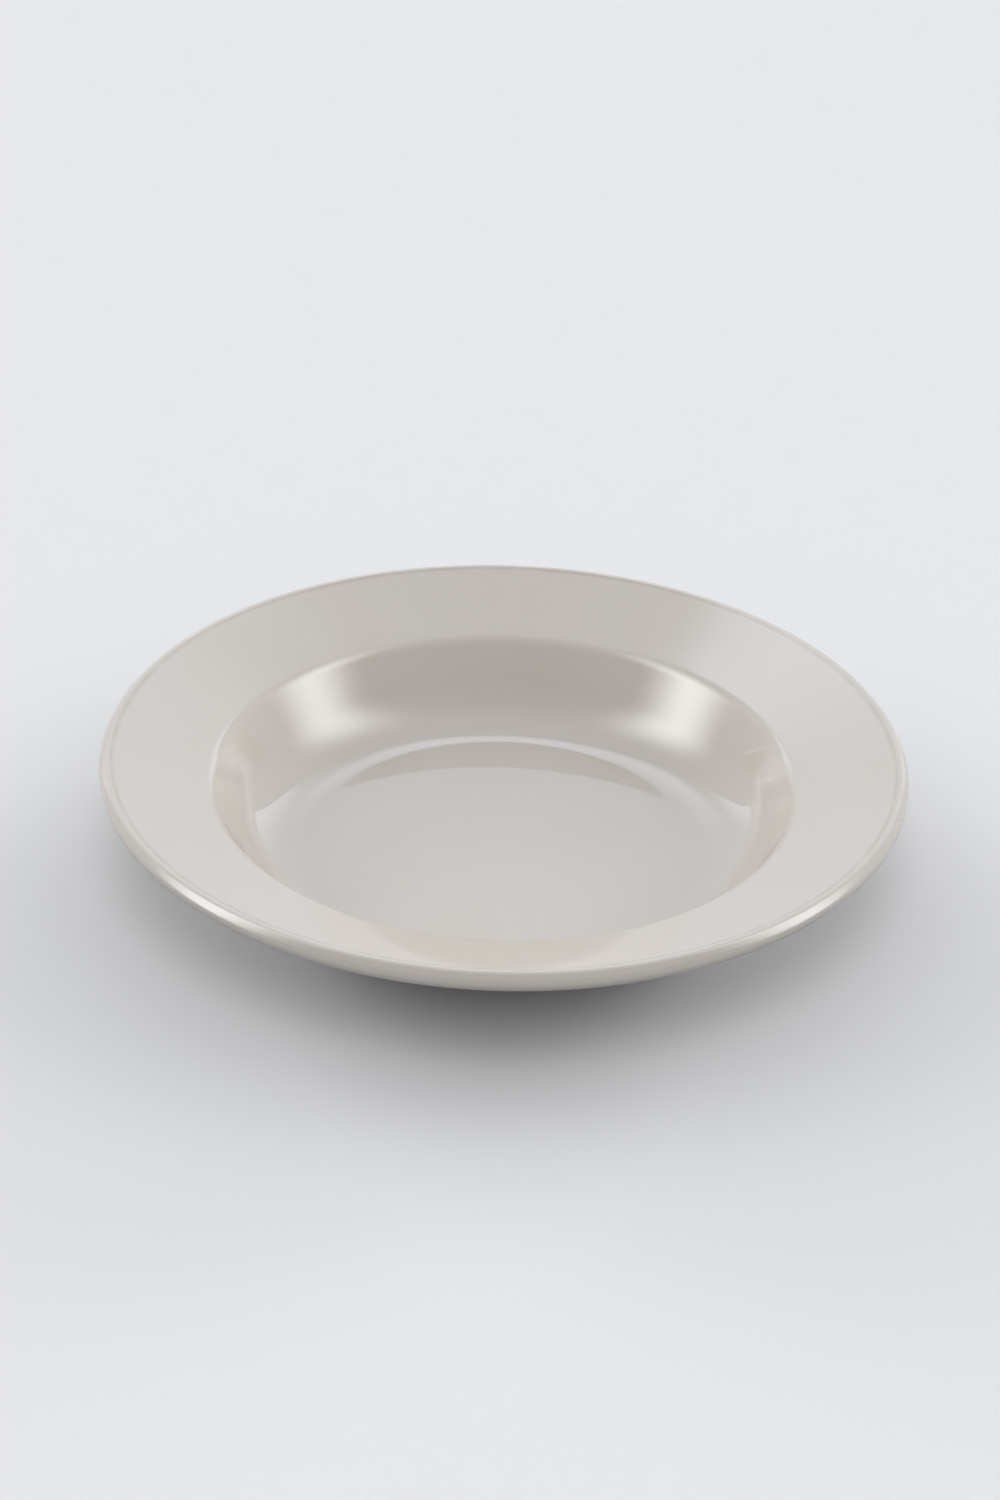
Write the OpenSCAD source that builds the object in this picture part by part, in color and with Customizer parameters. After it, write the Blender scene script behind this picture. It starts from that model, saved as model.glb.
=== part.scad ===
// Rim soup plate in glazed stoneware: a fired clay body under two coats of glaze.
// The origin is the centre of the foot's standing face on the table, +Z up, millimetres.
// Every radius and outer size is that of the finished plate, over its glaze.

/* [Rim] */
// Diameter of the plate across its edge
plate_d = 250; // [220:1:280]
// Height of the rolled edge, from its crest to its underside
edge_h = 6.3; // [5.6:0.1:8]
// Radius of the outer and lower roll of the edge, as a share of its height
edge_round_share = 0.476; // [0.4:0.004:0.5]
// Radius of the crest, where the flange turns down into the edge
crest_round = 1.8; // [1.2:0.1:2.4]
// How far the crest's face lies inside the outermost point of the edge
crest_set_in = 0.9; // [0.4:0.1:1.4]

/* [Well] */
// Diameter of the well at its throat, inside the rounded lip
well_d = 177; // [160:1:194]
// Depth of the well, from the rim's crest to the floor
well_depth = 36; // [28:0.5:44]
// How far the lip of the well lies below the rim's crest
lip_drop = 9.5; // [6:0.25:12]
// Radius of the rounded lip between the flange and the wall
lip_round = 6; // [4:0.5:10]
// Diameter of the flat floor
floor_d = 124; // [100:1:136]
// Length of the wall's straight run, between the curves at its foot and at its lip
wall_run = 12; // [6:0.5:18]

/* [Wall] */
// Thickness of the plate, with both coats of glaze
wall_t = 5; // [4:0.1:6.5]
// Radius of the hollow under the lip
under_lip_round = 6; // [4:0.5:10]
// Thickness of one coat of glaze
glaze_t = 0.3; // [0.2:0.05:0.5]

/* [Foot] */
// How far the foot ring's outer side stands outside the edge of the flat floor
foot_out = 4; // [2:0.5:6]
// Width of the foot ring at the table
foot_w = 5; // [4:0.25:8]
// Height of the base over the table, inside the foot ring
foot_h = 2.5; // [2:0.25:5]
// Sideways lean of each side of the foot ring
foot_lean = 0.6; // [0.3:0.1:1.2]
// Radius of the rounded edges of the standing face
foot_round = 0.8; // [0.5:0.1:1]
// Radius of the hollow where each side of the foot ring meets the plate
foot_fillet = 1; // [0.6:0.1:1.3]
// Height of the bare clay at the foot of the ring, wiped free of glaze
bare_h = 1; // [0.8:0.1:1.2]

/* [Hidden] */
// Full circles are drawn with this many sides
$fn = 180;
// Length of the straight run between the plate's underside and the foot's outer hollow
foot_run = 1;
// The straight runs of the section's outline pass this far inside its guide circles, so that
// each run and each arc cross at a point
nip = 0.002;
// How far an arc's piece reaches past its chord
lap = 0.05;

// Heights of the three main levels over the table
floor_z = foot_h + wall_t;
crest_z = floor_z + well_depth;
base_mid_z = foot_h + wall_t / 2;
// Outer radius of the foot ring at the table, and the middle of its width
foot_r = floor_d / 2 + foot_out;
foot_mid_r = foot_r - foot_w / 2;

// Radius of the outer and lower roll of the edge
edge_round = edge_h * edge_round_share;

// The section's outline is a belt drawn round guide circles. A circle is [x, z, radius], and
// the radius is negative where the circle lies outside the clay.
lip_circle = [well_d / 2 + lip_round, crest_z - lip_drop - lip_round, lip_round];
crest_circle = [
    plate_d / 2 - crest_set_in - crest_round,
    crest_z - crest_round,
    crest_round
];
edge_circle = [plate_d / 2 - edge_round, crest_z - edge_h + edge_round, edge_round];
// The curve at the wall's foot has the one radius that leaves the wall its straight run
lip_out = lip_circle.x - floor_d / 2;
lip_up = lip_circle.y - floor_z;
floor_curve = (lip_out ^ 2 + lip_up ^ 2 - lip_round ^ 2 - wall_run ^ 2) / (lip_up + lip_round) / 2;
floor_circle = [floor_d / 2, floor_z + floor_curve, -floor_curve];

// Slopes of the wall and of the flange, as the belt leaves the lip on either side
wall_slope = run_angle(floor_circle, lip_circle);
flange_slope = run_angle(lip_circle, crest_circle);
// The hollow under the lip keeps the wall's thickness on both of its sides
lip_turn = (wall_slope - flange_slope) / 2;
under_lip_shift = (wall_t + under_lip_round - lip_round) / cos(lip_turn);
under_lip_way = (wall_slope + flange_slope) / 2 - 90;
under_lip_circle = [
    lip_circle.x + under_lip_shift * cos(under_lip_way),
    lip_circle.y + under_lip_shift * sin(under_lip_way),
    -under_lip_round
];
under_floor_circle = [floor_circle.x, floor_circle.y, floor_curve + wall_t];

// The foot ring: an outer hollow, two rounded standing edges and an inner hollow
outer_hollow_r = foot_r + foot_lean + foot_fillet;
outer_hollow_reach = norm([floor_curve + wall_t + foot_fillet, foot_run]);
outer_hollow_offset = outer_hollow_r - floor_circle.x;
outer_hollow_drop = sqrt(outer_hollow_reach ^ 2 - outer_hollow_offset ^ 2);
outer_hollow_circle = [
    outer_hollow_r,
    floor_circle.y - outer_hollow_drop,
    -foot_fillet
];
outer_stand_circle = [foot_r - foot_round, foot_round - glaze_t, foot_round];
inner_stand_circle = [foot_r - foot_w + foot_round, foot_round - glaze_t, foot_round];
inner_hollow_circle = [
    foot_r - foot_w - foot_lean - foot_fillet,
    foot_h - foot_fillet,
    -foot_fillet
];

// The guide circles in their order from the floor, over the edge, to the base
guides = [
    floor_circle,
    lip_circle,
    crest_circle,
    edge_circle,
    under_lip_circle,
    under_floor_circle,
    outer_hollow_circle,
    outer_stand_circle,
    inner_stand_circle,
    inner_hollow_circle
];
last = len(guides) - 1;

// Direction of the belt's straight run from guide circle a to guide circle b
function run_angle(a, b) =
    atan2(b.y - a.y, b.x - a.x) - asin((a.z - b.z) / norm([b.x - a.x, b.y - a.y]));
// The point at which a run in this direction touches a guide circle
function touch(circle, angle) =
    [circle.x - circle.z * sin(angle), circle.y + circle.z * cos(angle)];
// The guide circles with the outline moved outward by grow
function grown(grow) = [for (g = guides) [g.x, g.y, g.z + grow]];
// The same list from its end to its start, which turns the outline anticlockwise
function reverse(list) = [for (i = [len(list) - 1 : -1 : 0]) list[i]];
// A guide circle drawn in by the nip
function nipped(circle) = [circle.x, circle.y, circle.z - sign(circle.z) * nip];
// Directions in which the belt comes to and leaves circle i. It starts and ends level.
function angle_in(list, i) = i == 0 ? 0 : run_angle(list[i - 1], list[i]);
function angle_out(list, i) = i == last ? 180 : run_angle(list[i], list[i + 1]);

// The piece between a guide circle's arc and its chord, a little wider than the belt's touch
module arc_piece(circle, from, to) {
    radius = abs(circle.z);
    spill = 2 * sign(circle.z) * acos(1 - nip / radius);
    start = touch(circle, from + spill);
    end = touch(circle, to - spill);
    middle = (start + end) / 2 - [circle.x, circle.y];
    outward = middle / norm(middle);
    intersection() {
        translate([circle.x, circle.y]) circle(r = radius);
        polygon([
            start - lap * outward,
            start + radius * outward,
            end + radius * outward,
            end - lap * outward
        ]);
    }
}

// Half of the plate's section, with the finished outline moved outward by grow
module section(grow) {
    list = grown(grow);
    corners = [
        for (i = [0 : last], angle = [angle_in(list, i), angle_out(list, i)])
            touch(nipped(list[i]), angle)
    ];
    floor_centre = [0, corners[0].y];
    base_centre = [0, corners[len(corners) - 1].y];
    difference() {
        union() {
            polygon(reverse(concat([floor_centre], corners, [base_centre])));
            for (i = [0 : last])
                if (list[i].z > 0)
                    arc_piece(list[i], angle_in(list, i), angle_out(list, i));
        }
        for (i = [0 : last])
            if (list[i].z < 0)
                arc_piece(list[i], angle_in(list, i), angle_out(list, i));
    }
}

// Both coats of glaze in half section, clear of the bare clay at the table
module glaze_section() {
    difference() {
        section(0);
        section(-glaze_t);
        translate([0, -bare_h]) square([plate_d, 2 * bare_h]);
    }
}

// The part of the half section inside the foot ring and under the middle of the base
module recess_window() {
    square([foot_mid_r, base_mid_z]);
}

module clay_body() {
    color([0.79, 0.74, 0.67]) rotate_extrude() section(-glaze_t);
}

module glaze_coat() {
    color([0.77, 0.75, 0.73]) rotate_extrude() difference() {
        glaze_section();
        recess_window();
    }
}

module base_glaze() {
    color([0.77, 0.75, 0.73]) rotate_extrude() intersection() {
        glaze_section();
        recess_window();
    }
}

clay_body();
glaze_coat();
base_glaze();
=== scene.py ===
import math
from collections import namedtuple

import bpy
from mathutils import Matrix, Vector, noise


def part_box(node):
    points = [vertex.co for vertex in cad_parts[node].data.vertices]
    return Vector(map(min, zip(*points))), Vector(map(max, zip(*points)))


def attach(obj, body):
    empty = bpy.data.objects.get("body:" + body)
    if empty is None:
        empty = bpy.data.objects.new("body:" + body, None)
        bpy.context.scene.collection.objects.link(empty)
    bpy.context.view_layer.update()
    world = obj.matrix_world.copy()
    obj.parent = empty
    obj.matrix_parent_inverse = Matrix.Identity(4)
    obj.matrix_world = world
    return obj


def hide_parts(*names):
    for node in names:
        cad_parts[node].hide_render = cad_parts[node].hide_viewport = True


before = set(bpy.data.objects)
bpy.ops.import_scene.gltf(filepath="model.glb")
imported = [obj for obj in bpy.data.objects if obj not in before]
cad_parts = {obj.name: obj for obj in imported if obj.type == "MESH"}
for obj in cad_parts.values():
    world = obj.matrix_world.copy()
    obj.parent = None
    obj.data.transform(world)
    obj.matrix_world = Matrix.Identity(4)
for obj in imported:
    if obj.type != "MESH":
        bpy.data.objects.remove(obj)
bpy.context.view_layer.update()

# Driving sizes in metres. The plate's radius and height come from the CAD part.
MM = 0.001
PLATE_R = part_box("glaze_coat")[1].x
CREST_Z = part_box("glaze_coat")[1].z
EDGE_H = 6.3 * MM
EDGE_ROUND = 3 * MM
CREST_ROUND = 1.8 * MM
CREST_SET_IN = 0.9 * MM
WELL_R = 88.5 * MM
LIP_DROP = 9.5 * MM
LIP_ROUND = 6 * MM
UNDER_LIP_ROUND = 6 * MM
FLOOR_R = 62 * MM
WALL_RUN = 12 * MM
WALL_T = 5 * MM
GLAZE_T = 0.3 * MM
FOOT_OUT = 4 * MM
FOOT_R = FLOOR_R + FOOT_OUT
FOOT_W = 5 * MM
FOOT_H = 2.5 * MM
FOOT_LEAN = 0.6 * MM
FOOT_ROUND = 0.8 * MM
FOOT_FILLET = 1 * MM
FOOT_RUN = 1 * MM
BARE_H = 1 * MM
FLOOR_Z = FOOT_H + WALL_T

# Fineness of the turned meshes
SECTORS = 480
ARC_STEP = math.radians(4)
SHORT_ARC_STEPS = 8
RUN_STEP = 1.6 * MM
END_STEPS = 6

# Heights and lengths of the gentle waves in the glaze's surface
WAVES = ((0.03 * MM, 28 * MM), (0.008 * MM, 12 * MM))
# How far the wiped line on the foot wavers up and down, how long its waves are, and how far up
# the glaze follows it
WAVER = 0.16 * MM
WAVER_LENGTH = 7 * MM
WAVER_REACH = 1.2 * MM

# A guide circle of the section. Its radius is negative where it lies outside the clay.
Circle = namedtuple("Circle", "x z r")


def run_direction(a, b):
    """Direction of the outline's straight run from guide circle a to guide circle b."""
    across, up = b.x - a.x, b.z - a.z
    return math.atan2(up, across) - math.asin((a.r - b.r) / math.hypot(across, up))


def touch(circle, direction):
    """The point at which a run in this direction touches a guide circle."""
    return (circle.x - circle.r * math.sin(direction), circle.z + circle.r * math.cos(direction))


def guide_circles():
    """The section's guide circles, from the floor over the edge to the base."""
    lip = Circle(WELL_R + LIP_ROUND, CREST_Z - LIP_DROP - LIP_ROUND, LIP_ROUND)
    crest = Circle(PLATE_R - CREST_SET_IN - CREST_ROUND, CREST_Z - CREST_ROUND, CREST_ROUND)
    edge = Circle(PLATE_R - EDGE_ROUND, CREST_Z - EDGE_H + EDGE_ROUND, EDGE_ROUND)
    lip_out, lip_up = lip.x - FLOOR_R, lip.z - FLOOR_Z
    spare = lip_out**2 + lip_up**2 - LIP_ROUND**2 - WALL_RUN**2
    floor_curve = spare / (lip_up + LIP_ROUND) / 2
    floor = Circle(FLOOR_R, FLOOR_Z + floor_curve, -floor_curve)

    wall, flange = run_direction(floor, lip), run_direction(lip, crest)
    shift = (WALL_T + UNDER_LIP_ROUND - LIP_ROUND) / math.cos((wall - flange) / 2)
    way = (wall + flange) / 2 - math.pi / 2
    under_lip = Circle(
        lip.x + shift * math.cos(way), lip.z + shift * math.sin(way), -UNDER_LIP_ROUND
    )
    under_floor = Circle(floor.x, floor.z, floor_curve + WALL_T)

    hollow_r = FOOT_R + FOOT_LEAN + FOOT_FILLET
    reach = math.hypot(floor_curve + WALL_T + FOOT_FILLET, FOOT_RUN)
    drop = math.sqrt(reach**2 - (hollow_r - floor.x) ** 2)
    outer_hollow = Circle(hollow_r, floor.z - drop, -FOOT_FILLET)
    stand_z = FOOT_ROUND - GLAZE_T
    outer_stand = Circle(FOOT_R - FOOT_ROUND, stand_z, FOOT_ROUND)
    inner_stand = Circle(FOOT_R - FOOT_W + FOOT_ROUND, stand_z, FOOT_ROUND)
    inner_hollow = Circle(
        FOOT_R - FOOT_W - FOOT_LEAN - FOOT_FILLET, FOOT_H - FOOT_FILLET, -FOOT_FILLET
    )
    return [
        floor, lip, crest, edge, under_lip, under_floor,
        outer_hollow, outer_stand, inner_stand, inner_hollow,
    ]


def run_points(start, end):
    """Points along a straight run, without its ends."""
    length = math.dist(start, end)
    steps = max(1, round(length / RUN_STEP))
    shares = [i / steps for i in range(1, steps)]
    return [(start[0] + (end[0] - start[0]) * s, start[1] + (end[1] - start[1]) * s) for s in shares]


def arc_points(circle, start, end):
    """Points along a guide circle's arc, with its ends."""
    steps = max(SHORT_ARC_STEPS, math.ceil(abs(end - start) / ARC_STEP))
    return [touch(circle, start + (end - start) * i / steps) for i in range(steps + 1)]


def outline(grow):
    """The section's outline from the floor's centre to the base's centre, moved out by grow."""
    circles = [Circle(c.x, c.z, c.r + grow) for c in guide_circles()]
    last = len(circles) - 1
    points = [(0.0, FLOOR_Z + grow)]
    direction = 0.0
    for i, circle in enumerate(circles):
        leaving = run_direction(circle, circles[i + 1]) if i < last else math.pi
        # The belt turns by less than half a turn at each circle
        turn = math.remainder(leaving - direction, 2 * math.pi)
        arc = arc_points(circle, direction, direction + turn)
        points += run_points(points[-1], arc[0]) + arc
        direction = leaving
    centre = (0.0, FOOT_H - grow)
    return points + run_points(points[-1], centre) + [centre]


def cut_at_foot(points):
    """An outline's two parts that carry glaze: over the plate to the foot, and under its base."""
    cut_z = BARE_H + GLAZE_T / 2 + WAVER
    low = [i for i, p in enumerate(points) if p[1] < cut_z]
    first, last = low[0], low[-1]

    def crossing(above, below):
        share = (above[1] - cut_z) / (above[1] - below[1])
        return (above[0] + (below[0] - above[0]) * share, cut_z)

    over = points[:first] + [crossing(points[first - 1], points[first])]
    under = [crossing(points[last + 1], points[last])] + points[last + 1:]
    return over, under


def rounded_end(start, end):
    """The half circle, turned downward, that closes a glaze coat between its two faces."""
    middle = (start[0] + end[0]) / 2
    radius = (start[0] - end[0]) / 2
    turns = [math.pi * i / END_STEPS for i in range(1, END_STEPS)]
    return [(middle + radius * math.cos(t), start[1] - abs(radius) * math.sin(t)) for t in turns]


def turned_mesh(name, section):
    """A closed mesh turned about the Z axis. Its section starts and ends on the axis."""
    rings = section[1:-1]
    count = len(rings)
    vertices = [(0, 0, section[0][1]), (0, 0, section[-1][1])]
    faces = []
    for j in range(SECTORS):
        angle = 2 * math.pi * j / SECTORS
        cos, sin = math.cos(angle), math.sin(angle)
        vertices += [(r * cos, r * sin, z) for r, z in rings]
        here, there = 2 + j * count, 2 + (j + 1) % SECTORS * count
        faces.append((0, here, there))
        faces += [(here + i, here + i + 1, there + i + 1, there + i) for i in range(count - 1)]
        faces.append((1, there + count - 1, here + count - 1))
    mesh = bpy.data.meshes.new(name)
    mesh.from_pydata(vertices, [], faces)
    mesh.shade_smooth()
    return mesh


def wave_depth(place):
    """How deep the glaze's gentle waves sink its face at a place."""
    return sum(height * (1 - noise.noise(place / length)) for height, length in WAVES)


def sink_waves(mesh, section, face):
    """Sinks one face of a coat, given as a range of section points, by the gentle waves."""
    count = len(section) - 2
    normals = [v.normal.copy() for v in mesh.vertices]
    # The section's two ends are one vertex each, and its other points have one in each sector
    poles = {0: [0], count + 1: [1]}
    for point in face:
        for index in poles.get(point, range(1 + point, len(normals), count)):
            vertex = mesh.vertices[index]
            vertex.co -= normals[index] * wave_depth(vertex.co)


def waver_line(mesh):
    """Makes the wiped line at the foot waver up and down."""
    line_z = BARE_H + WAVER
    for vertex in mesh.vertices:
        follow = 1 - (vertex.co.z - line_z) / WAVER_REACH
        if follow > 0:
            along = Vector((vertex.co.x, vertex.co.y, 0)) / WAVER_LENGTH
            vertex.co.z += WAVER * noise.noise(along) * min(follow, 1)


def place_piece(name, mesh, node, material):
    """Puts a piece in the scene, where it stands for a CAD node and rides on the plate."""
    piece = bpy.data.objects.new(name, mesh)
    bpy.context.scene.collection.objects.link(piece)
    mesh.materials.append(material)
    mesh.update()
    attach(piece, "root")
    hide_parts(node)


def make_glaze_coats(material):
    """The coat over the whole plate down to the foot, and the coat under the base."""
    face_over, face_under = cut_at_foot(outline(0))
    back_over, back_under = cut_at_foot(outline(-GLAZE_T))

    section = face_over + rounded_end(face_over[-1], back_over[-1]) + back_over[::-1]
    mesh = turned_mesh("glaze_over_plate", section)
    sink_waves(mesh, section, range(len(face_over) - 1))
    waver_line(mesh)
    place_piece("glaze_over_plate", mesh, "glaze_coat", material)

    section = back_under[::-1] + rounded_end(back_under[0], face_under[0]) + face_under
    mesh = turned_mesh("glaze_under_base", section)
    sink_waves(mesh, section, range(len(section) - len(face_under) + 1, len(section)))
    waver_line(mesh)
    place_piece("glaze_under_base", mesh, "base_glaze", material)


def make_clay_body(material):
    """The fired clay inside the glaze, bare where the foot stands on the table."""
    mesh = turned_mesh("fired_clay_body", outline(-GLAZE_T))
    place_piece("fired_clay_body", mesh, "clay_body", material)


class Nodes:
    """Shader nodes in the making, in one material, lamp or world."""

    def __init__(self, tree):
        self.tree = tree

    def add(self, kind, inputs=None, **settings):
        """A new shader node with these settings, its inputs set to values or joined to sockets."""
        node = self.tree.nodes.new("ShaderNode" + kind)
        for name, value in settings.items():
            setattr(node, name, value)
        self.fill(node, inputs or {})
        return node

    def fill(self, node, inputs):
        """Sets a node's inputs to values, or joins sockets to them."""
        for key, value in inputs.items():
            if isinstance(value, bpy.types.NodeSocket):
                self.tree.links.new(value, node.inputs[key])
            else:
                node.inputs[key].default_value = value

    def math(self, operation, a, b=0.0):
        return self.add("Math", {0: a, 1: b}, operation=operation).outputs[0]

    def fade(self, value, start, end, low=0.0, high=1.0):
        """Goes smoothly from low, where value is start, to high, where it is end."""
        inputs = {"Value": value, "From Min": start, "From Max": end, "To Min": low, "To Max": high}
        return self.add("MapRange", inputs, interpolation_type="SMOOTHSTEP").outputs["Result"]

    def band(self, value, middle, reach):
        """One where value is at the middle, and nothing beyond its reach."""
        off = self.math("ABSOLUTE", self.math("SUBTRACT", value, middle))
        return self.fade(off, reach, 0.0)

    def tint(self, share, colour, other):
        """Goes from one colour to another by a share."""
        node = self.add("Mix", data_type="RGBA")
        self.fill(node, {0: share, 6: colour, 7: other})
        return node.outputs[2]


class Surface(Nodes):
    """A procedural material in the making, laid out in the plate's own coordinates."""

    def __init__(self, name):
        self.material = bpy.data.materials.new(name)
        self.material.use_nodes = True
        super().__init__(self.material.node_tree)
        self.shader = self.tree.nodes["Principled BSDF"]
        self.place = self.add("TexCoord").outputs["Object"]
        level = self.add("VectorMath", {0: self.place, 1: (1, 1, 0)}, operation="MULTIPLY")
        self.radius = self.add("VectorMath", {0: level.outputs[0]}, operation="LENGTH").outputs["Value"]
        self.height = self.add("SeparateXYZ", {0: self.place}).outputs["Z"]

    def clouds(self, length, detail=2.0, roughness=0.5):
        """Noise from 0 to 1 whose largest spots are about this long."""
        inputs = {"Vector": self.place, "Scale": 1 / length, "Detail": detail, "Roughness": roughness}
        return self.add("TexNoise", inputs).outputs["Fac"]

    def specks(self, kind):
        """Round specks of one kind, each soft over the outer half of its radius."""
        cells = self.add("TexVoronoi", {"Vector": self.place, "Scale": 1 / kind.spacing})
        distance = self.math("MULTIPLY", cells.outputs["Distance"], kind.spacing)
        chance = self.add("SeparateColor", {0: cells.outputs["Color"]}).outputs["Red"]
        chosen = self.math("LESS_THAN", chance, kind.share)
        return self.math("MULTIPLY", self.fade(distance, kind.radius, kind.radius / 2), chosen)

    def bump(self, height, depth, normal=None):
        """A normal from a height map whose whole range is this deep."""
        inputs = {"Height": height, "Distance": depth, "Strength": 1.0}
        if normal:
            inputs["Normal"] = normal
        return self.add("Bump", inputs).outputs["Normal"]


# Specks lie at a share of the points that are about one spacing apart. Their strength is how
# far they change the colour under them.
Specks = namedtuple("Specks", "spacing radius share strength")

# The glaze: its colours, as linear values, and its finish
GLAZE = (0.56, 0.519, 0.477, 1)
GLAZE_COOL = (0.566, 0.527, 0.488, 1)
GLAZE_CREST_LINE = (0.44, 0.385, 0.33, 1)
GLAZE_FLECK = (0.3, 0.27, 0.24, 1)
GLAZE_ROUGHNESS = (0.015, 0.03)
GLAZE_IOR = 1.5
FLECKS = Specks(2.6 * MM, 0.09 * MM, 0.14, 0.35)
PINHOLES = Specks(11 * MM, 0.22 * MM, 0.3, 0.8)
PINHOLE_DEPTH = 0.05 * MM
# The faint peel of its face
PEEL_LENGTH = 2.2 * MM
PEEL_DETAIL = 3
PEEL_DEPTH = 0.004 * MM
# Lengths of its clouds of colour and of gloss, and the noise over which each kind changes
COLOUR_CLOUD = 45 * MM
COLOUR_CHANGE = (0.35, 0.65)
GLOSS_CLOUD = 14 * MM
GLOSS_CHANGE = (0.3, 0.7)
# The darker, warmer line beside the crest: how far inside the edge it runs and how wide it is to each
# side, between which depths under the crest it comes in, and how strong its clouds make it
CREST_LINE_IN = 4 * MM
CREST_LINE_REACH = 1.2 * MM
CREST_LINE_DEPTHS = (3 * MM, 2 * MM)
CREST_LINE_CLOUD = 9 * MM
CREST_LINE_CHANGE = (0.3, 0.6)
CREST_LINE_STRENGTH = (0.3, 0.6)

# The bare clay: its colours, as linear values, and its finish
CLAY = (0.72, 0.66, 0.57, 1)
CLAY_DARK = (0.6, 0.53, 0.44, 1)
CLAY_GRAIN = (0.42, 0.35, 0.28, 1)
CLAY_ROUGHNESS = (0.8, 0.95)
CLAY_IOR = 1.5
CLAY_CLOUD = 6 * MM
CLAY_CLOUD_DETAIL = 4
CLAY_SHEEN_CLOUD = 3 * MM
CLAY_SHEEN_CHANGE = (0.3, 0.7)
GRAIN = Specks(0.9 * MM, 0.16 * MM, 0.3, 0.7)
# The grit that its face feels of, and the fine rings that the wiping tool left
GRIT_LENGTH = 0.5 * MM
GRIT_DETAIL = 5
GRIT_HARSHNESS = 0.7
GRIT_DEPTH = 0.06 * MM
TOOL_RING_SPACING = 0.55 * MM
TOOL_RING_DEPTH = 0.01 * MM


def crest_line(surface):
    """A broken line beside the crest where the glaze's colour is darker and warmer."""
    line = surface.band(surface.radius, PLATE_R - CREST_LINE_IN, CREST_LINE_REACH)
    low, high = (CREST_Z - depth for depth in CREST_LINE_DEPTHS)
    line = surface.math("MULTIPLY", line, surface.fade(surface.height, low, high))
    clouds = surface.fade(surface.clouds(CREST_LINE_CLOUD), *CREST_LINE_CHANGE, *CREST_LINE_STRENGTH)
    return surface.math("MULTIPLY", line, clouds)


def add_specks(surface, kind, colour, speck_colour):
    """A colour with specks of one kind on it, and where the specks are."""
    specks = surface.specks(kind)
    share = surface.math("MULTIPLY", specks, kind.strength)
    return surface.tint(share, colour, speck_colour), specks


def glaze_material():
    """Warm grey gloss glaze: slow clouds, a darker line beside the crest, fine flecks and few pinholes.
    """
    surface = Surface("warm_grey_glaze")
    clouds = surface.fade(surface.clouds(COLOUR_CLOUD), *COLOUR_CHANGE)
    colour = surface.tint(clouds, GLAZE, GLAZE_COOL)
    # A darker, warmer line beside the crest
    colour = surface.tint(crest_line(surface), colour, GLAZE_CREST_LINE)
    colour, _ = add_specks(surface, FLECKS, colour, GLAZE_FLECK)
    colour, pinholes = add_specks(surface, PINHOLES, colour, GLAZE_FLECK)
    peel = surface.bump(surface.clouds(PEEL_LENGTH, PEEL_DETAIL), PEEL_DEPTH)
    normal = surface.bump(surface.math("SUBTRACT", 1.0, pinholes), PINHOLE_DEPTH, peel)
    roughness = surface.fade(surface.clouds(GLOSS_CLOUD), *GLOSS_CHANGE, *GLAZE_ROUGHNESS)
    surface.fill(surface.shader, {
        "Base Color": colour, "Roughness": roughness, "Normal": normal, "IOR": GLAZE_IOR,
    })
    return surface.material


def clay_material():
    """Bare fired stoneware: matt, with clouds, dark grain, grit and tool rings."""
    surface = Surface("bare_fired_clay")
    colour = surface.tint(surface.clouds(CLAY_CLOUD, CLAY_CLOUD_DETAIL), CLAY, CLAY_DARK)
    colour, _ = add_specks(surface, GRAIN, colour, CLAY_GRAIN)
    turns = surface.math("MULTIPLY", surface.radius, 2 * math.pi / TOOL_RING_SPACING)
    grit = surface.bump(surface.clouds(GRIT_LENGTH, GRIT_DETAIL, GRIT_HARSHNESS), GRIT_DEPTH)
    normal = surface.bump(surface.math("SINE", turns), TOOL_RING_DEPTH, grit)
    clouds = surface.clouds(CLAY_SHEEN_CLOUD)
    roughness = surface.fade(clouds, *CLAY_SHEEN_CHANGE, *CLAY_ROUGHNESS)
    surface.fill(surface.shader, {
        "Base Color": colour, "Roughness": roughness, "Normal": normal, "IOR": CLAY_IOR,
    })
    return surface.material


# The camera, found by fitting the plate's circles to the photograph. The image is 1000 by 1500
# pixels, and the sensor's width, in millimetres, lies along its long side. The rise and the
# turns are in radians, and the reach, in metres, goes from the middle of the rim.
SENSOR = 36
IMAGE_LONG_SIDE = 1500
FOCAL_PIXELS = 3400
CAMERA_RISE = 0.53277
CAMERA_REACH = 1.05208
CAMERA_ROLL = -0.03035
CAMERA_PAN = 0.00134
CAMERA_TILT = -0.0006


def make_camera():
    """Puts the camera at the photograph's viewing angle, looking at the middle of the rim."""
    cos, sin = math.cos(CAMERA_RISE), math.sin(CAMERA_RISE)
    level = Matrix(((1, 0, 0), (0, sin, cos), (0, cos, -sin)))
    turn = Matrix.Rotation(CAMERA_ROLL, 3, "Z")
    turn @= Matrix.Rotation(CAMERA_PAN, 3, "Y")
    turn @= Matrix.Rotation(CAMERA_TILT, 3, "X")
    right, up, forward = turn @ level
    aim = Matrix((right, up, -forward)).transposed().to_4x4()
    place = Vector((0, -CAMERA_REACH * cos, CAMERA_REACH * sin + CREST_Z))
    data = bpy.data.cameras.new("camera")
    data.sensor_width = SENSOR
    data.lens = FOCAL_PIXELS * SENSOR / IMAGE_LONG_SIDE
    camera = bpy.data.objects.new("camera", data)
    camera.matrix_world = Matrix.Translation(place) @ aim
    bpy.context.scene.collection.objects.link(camera)
    bpy.context.scene.camera = camera


# The table's colour where it is seen, and where its light falls back on the plate
TABLE = (0.745, 0.75, 0.765, 1)
TABLE_BOUNCE = (0.3, 0.3, 0.31, 1)
TABLE_REACH = 6
# The tint of the light from all around, and of the room in reflections
WORLD = (0.98, 0.99, 1.0, 1)
ROOM = (0.86, 0.94, 1.08, 1)


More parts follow.
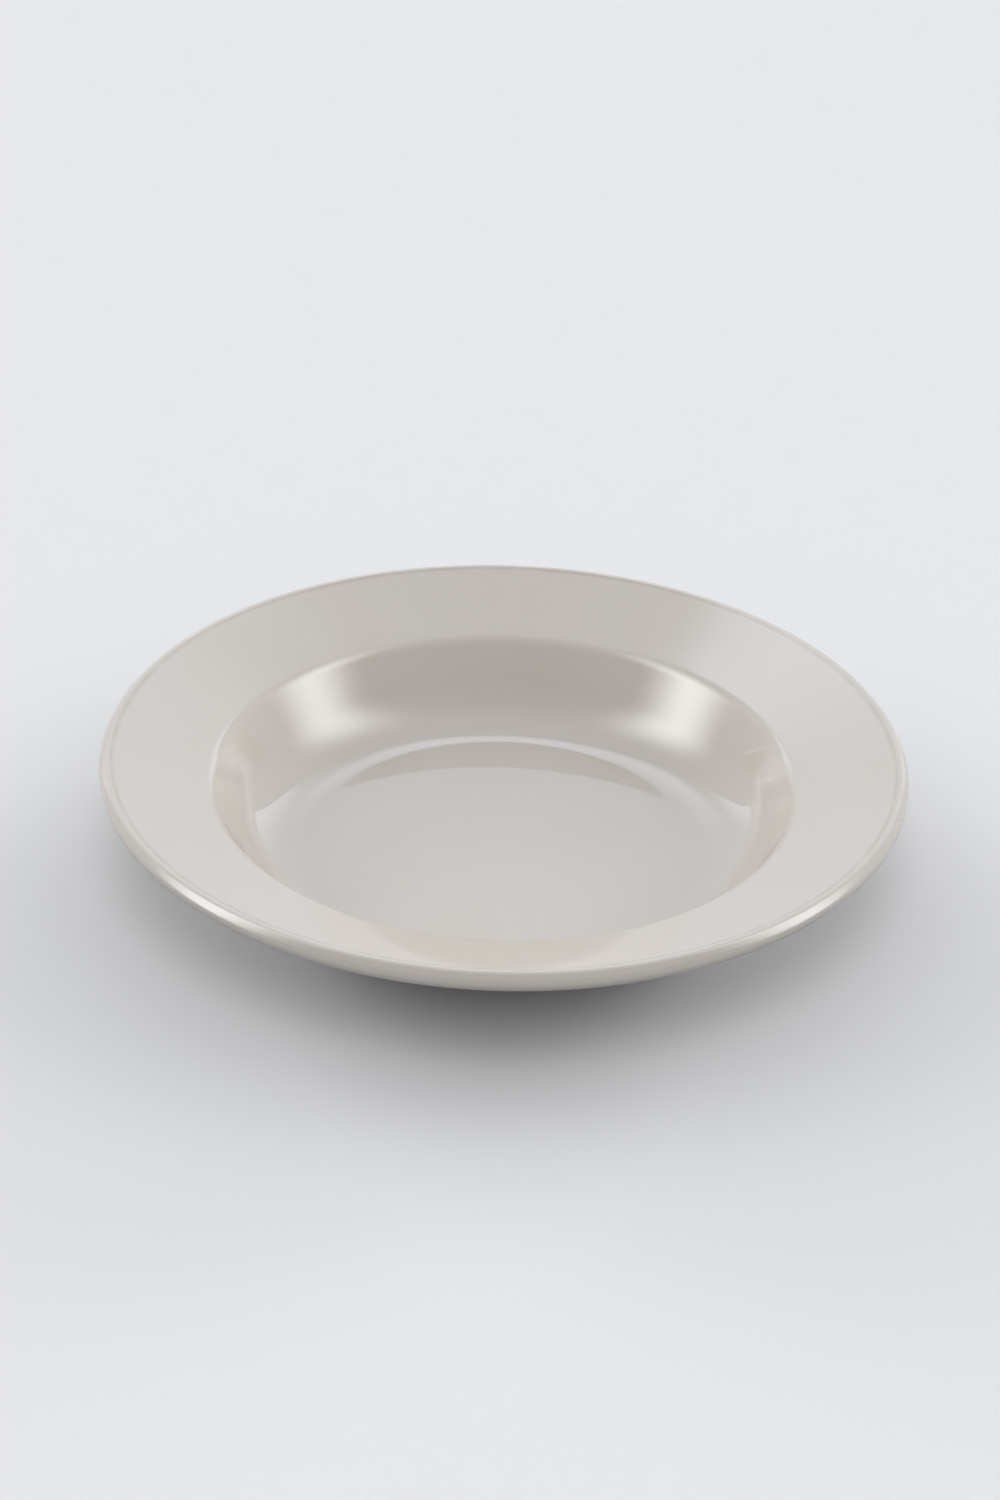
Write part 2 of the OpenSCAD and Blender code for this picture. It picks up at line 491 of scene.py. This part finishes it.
def make_table():
    """A plain pale table top."""
    mesh = bpy.data.meshes.new("table_top")
    signs = ((-1, -1), (1, -1), (1, 1), (-1, 1))
    corners = [(x * TABLE_REACH, y * TABLE_REACH, 0) for x, y in signs]
    mesh.from_pydata(corners, [], [(0, 1, 2, 3)])
    table = bpy.data.objects.new("table_top", mesh)
    bpy.context.scene.collection.objects.link(table)
    surface = Surface("pale_table")
    rays = surface.add("LightPath").outputs
    seen = surface.math("MAXIMUM", rays["Is Camera Ray"], rays["Is Glossy Ray"])
    colour = surface.tint(seen, TABLE_BOUNCE, TABLE)
    surface.fill(surface.shader, {"Base Color": colour, "Roughness": 1.0, "Specular IOR Level": 0.0})
    mesh.materials.append(surface.material)


# The studio's lamps. A direction goes from the plate, in degrees from the far side round to the
# right, and in degrees over the table. A matt lamp's spread is in degrees too, and its share is
# its part of the table's light.
MattLamp = namedtuple("MattLamp", "azimuth elevation spread share")
SoftBox = namedtuple("SoftBox", "azimuth radiance")
MATT_LAMPS = {
    "front_light": MattLamp(180, 56, 28, 0.155),
    "left_light": MattLamp(-90, 25, 30, 0.03),
    "right_light": MattLamp(90, 25, 30, 0.04),
    "left_rear_light": MattLamp(-65, 30, 30, 0.045),
    "right_rear_light": MattLamp(65, 30, 30, 0.045),
    "low_left_light": MattLamp(-45, 12, 22, 0.08),
    "low_right_light": MattLamp(45, 12, 22, 0.08),
}
SOFT_BOXES = {"left_soft_box": SoftBox(-96, 9.0), "right_soft_box": SoftBox(91, 7.3)}
LAMP_DISTANCE = 1.5
BOX_ELEVATION = 35
BOX_LEAN = 10
BOX_WIDTH = 1.24
BOX_HEIGHT = 2.06
# A soft box keeps a share of its glow at its sides and at its top. It fades towards its top
# from this share of its height.
BOX_SIDE_GLOW = 0.05
BOX_TOP_GLOW = 0.06
BOX_FADE_START = 0.42
# The part of the table's light that comes from all around
AMBIENT_SHARE = 0.61

# The room in reflections. Its far side holds a broad bright panel, which is laid out by a
# direction's sideways and upward parts, as shares of its part towards the far side.
PANEL_MIDDLE = -0.135
PANEL_HALF_WIDTH = 0.865
PANEL_TOP = 1.75
# The panel's glow at its foot and over its face, and what is added near its top and its sides
PANEL_FOOT_GLOW = 0.8
PANEL_GLOW = 1.25
PANEL_TOP_GLOW = 2.2
PANEL_SIDE_GLOW = 1.3
# Where these glows come in or go out, from and to, as shares of the panel's height or, for
# the names that end in SIDE, of its half width
FOOT_GLOW_OUT = (0.0, 0.35)
FACE_GLOW_OUT = (0.5, 1.0)
TOP_GLOW_IN = (0.3, 0.75)
TOP_GLOW_OUT = (1.0, 0.8)
TOP_GLOW_OUT_SIDE = (0.7, 0.3)
SIDE_GLOW_IN_SIDE = (0.5, 1.0)
SIDE_GLOW_OUT = (0.7, 0.4)
# The rest of the room, and between which parts of a direction towards the far side it gets dark
ROOM_GLOW = 0.75
ROOM_DARK = (-0.5, 0.1)


def direction(azimuth, elevation):
    """The direction from the plate to a lamp."""
    azimuth, elevation = math.radians(azimuth), math.radians(elevation)
    level = math.cos(elevation)
    return Vector((math.sin(azimuth) * level, math.cos(azimuth) * level, math.sin(elevation)))


def place_lamp(name, data, towards, lean=0.0):
    """Puts a lamp in this direction, facing the plate, its top leaning to the far side."""
    upward = Vector((0, math.sin(math.radians(lean)), math.cos(math.radians(lean))))
    upward = (upward - upward.dot(towards) * towards).normalized()
    aim = Matrix((upward.cross(towards), upward, towards)).transposed().to_4x4()
    lamp = bpy.data.objects.new(name, data)
    place = towards * LAMP_DISTANCE + Vector((0, 0, CREST_Z))
    lamp.matrix_world = Matrix.Translation(place) @ aim
    lamp.visible_camera = False
    bpy.context.scene.collection.objects.link(lamp)
    return lamp


def make_matt_lamp(name, light):
    """A wide, even light that shapes the shadows and shows in no reflection."""
    towards = direction(light.azimuth, light.elevation)
    data = bpy.data.lights.new(name, "SUN")
    data.energy = math.pi * light.share / towards.z
    data.angle = math.radians(light.spread)
    lamp = place_lamp(name, data, towards)
    lamp.visible_glossy = False


def make_soft_box(name, box):
    """A tall soft box, hot in the middle and fading to its sides and its top, for reflections."""
    data = bpy.data.lights.new(name, "AREA")
    data.shape = "RECTANGLE"
    data.size = BOX_WIDTH
    data.size_y = BOX_HEIGHT
    data.energy = box.radiance * math.pi * BOX_WIDTH * BOX_HEIGHT
    data.use_nodes = True
    nodes = Nodes(data.node_tree)
    # Places on a lamp run from 0 to 1, across it and up it
    place = nodes.add("NewGeometry").outputs["Parametric"]
    across, up, _ = nodes.add("SeparateXYZ", {0: place}).outputs
    off_middle = nodes.math("ABSOLUTE", nodes.math("SUBTRACT", across, 0.5))
    middle = nodes.fade(off_middle, 0.5, 0.0, BOX_SIDE_GLOW)
    glow = nodes.math("MULTIPLY", middle, nodes.fade(up, 1.0, BOX_FADE_START, BOX_TOP_GLOW))
    nodes.fill(nodes.tree.nodes["Emission"], {"Strength": glow})
    lamp = place_lamp(name, data, direction(box.azimuth, BOX_ELEVATION), BOX_LEAN)
    lamp.visible_diffuse = False


def panel_glow(nodes, off_side, height):
    """The panel's glow, from how far a direction is off its middle and how high up it."""
    foot = nodes.fade(height, *FOOT_GLOW_OUT, PANEL_FOOT_GLOW, PANEL_GLOW)
    face = nodes.fade(height, *FACE_GLOW_OUT, PANEL_GLOW, ROOM_GLOW)
    top = nodes.fade(height, *TOP_GLOW_IN, 0.0, PANEL_TOP_GLOW)
    top = nodes.math("MULTIPLY", top, nodes.fade(height, *TOP_GLOW_OUT))
    top = nodes.math("MULTIPLY", top, nodes.fade(off_side, *TOP_GLOW_OUT_SIDE))
    sides = nodes.fade(off_side, *SIDE_GLOW_IN_SIDE, 0.0, PANEL_SIDE_GLOW)
    sides = nodes.math("MULTIPLY", sides, nodes.fade(height, *SIDE_GLOW_OUT))
    glow = nodes.math("MINIMUM", foot, face)
    return nodes.math("ADD", glow, nodes.math("ADD", top, sides))


def room_glow(nodes):
    """The room's glow in reflections, with the panel on its far side."""
    way = nodes.add("TexCoord").outputs["Generated"]
    side, far, up = nodes.add("SeparateXYZ", {0: way}).outputs
    off_side = nodes.math("SUBTRACT", nodes.math("DIVIDE", side, far), PANEL_MIDDLE)
    off_side = nodes.math("DIVIDE", nodes.math("ABSOLUTE", off_side), PANEL_HALF_WIDTH)
    height = nodes.math("DIVIDE", nodes.math("DIVIDE", up, far), PANEL_TOP)
    on_panel = nodes.math("LESS_THAN", nodes.math("MAXIMUM", off_side, height), 1.0)
    on_panel = nodes.math("MULTIPLY", on_panel, nodes.math("GREATER_THAN", far, 0.0))
    room = nodes.fade(far, *ROOM_DARK, 0.0, ROOM_GLOW)
    panel = panel_glow(nodes, off_side, height)
    return nodes.add("Mix", {0: on_panel, 2: room, 3: panel}).outputs[0]


def make_world():
    """A pale room: the table's colour where it is seen, even light, and its own reflections."""
    world = bpy.data.worlds.new("studio")
    world.use_nodes = True
    nodes = Nodes(world.node_tree)
    rays = nodes.add("LightPath").outputs
    reflected, seen = rays["Is Glossy Ray"], rays["Is Camera Ray"]
    glow = nodes.add("Mix", {0: reflected, 2: AMBIENT_SHARE, 3: room_glow(nodes)}).outputs[0]
    glow = nodes.add("Mix", {0: seen, 2: glow, 3: 1.0}).outputs[0]
    colour = nodes.tint(seen, nodes.tint(reflected, WORLD, ROOM), TABLE)
    background = world.node_tree.nodes["Background"]
    nodes.fill(background, {"Color": colour, "Strength": glow})
    bpy.context.scene.world = world


make_camera()
make_glaze_coats(glaze_material())
make_clay_body(clay_material())
make_table()
for name, light in MATT_LAMPS.items():
    make_matt_lamp(name, light)
for name, box in SOFT_BOXES.items():
    make_soft_box(name, box)
make_world()

bpy.context.scene.view_settings.view_transform = "Standard"
